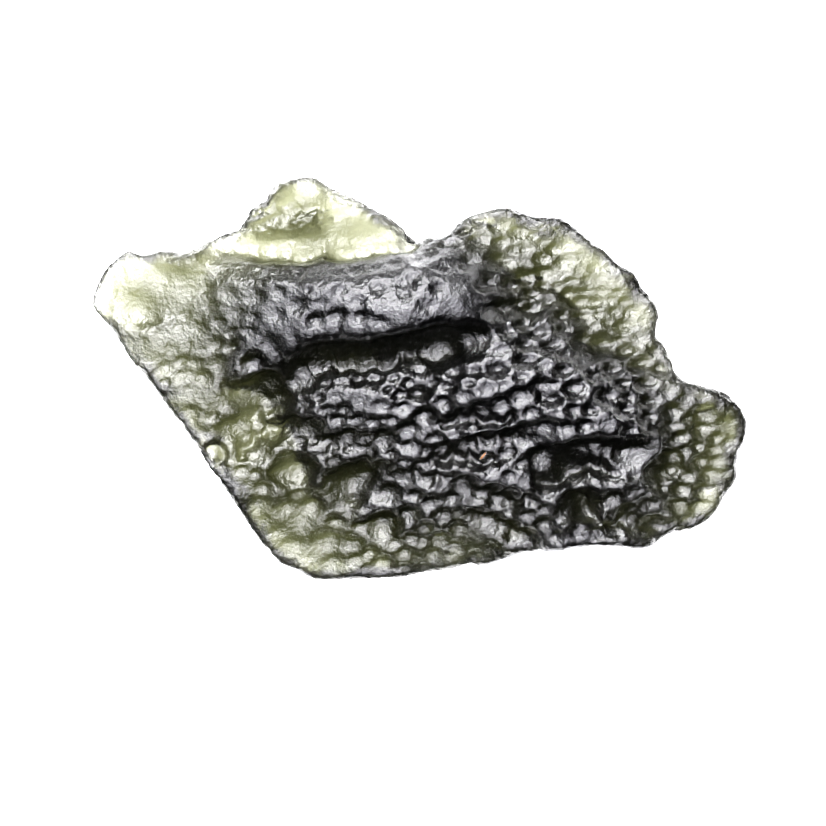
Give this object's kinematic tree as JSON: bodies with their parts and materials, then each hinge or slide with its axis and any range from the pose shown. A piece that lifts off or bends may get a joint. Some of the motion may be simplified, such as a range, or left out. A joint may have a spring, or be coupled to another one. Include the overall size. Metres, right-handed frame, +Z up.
{
  "type": "raw moldavite",
  "caption": "Raw piece of green natural glass, flat and leaf-shaped with thin edges, etched with pits, ledges and furrows, lying on its flatter face.",
  "frame": {"origin": "on the resting surface, under the middle of the stone's box", "axes": "+X along the stone's length towards its rounded lobe, +Y towards the side with the thin crested flange, +Z up, square to its broad faces"},
  "size_m": [0.0328, 0.0202, 0.0059],
  "materials": {
    "moldavite_glass": "satin, etched, translucent green"
  },
  "bodies": {
    "root": {"moldavite": "moldavite_glass"}
  },
  "joints": []
}
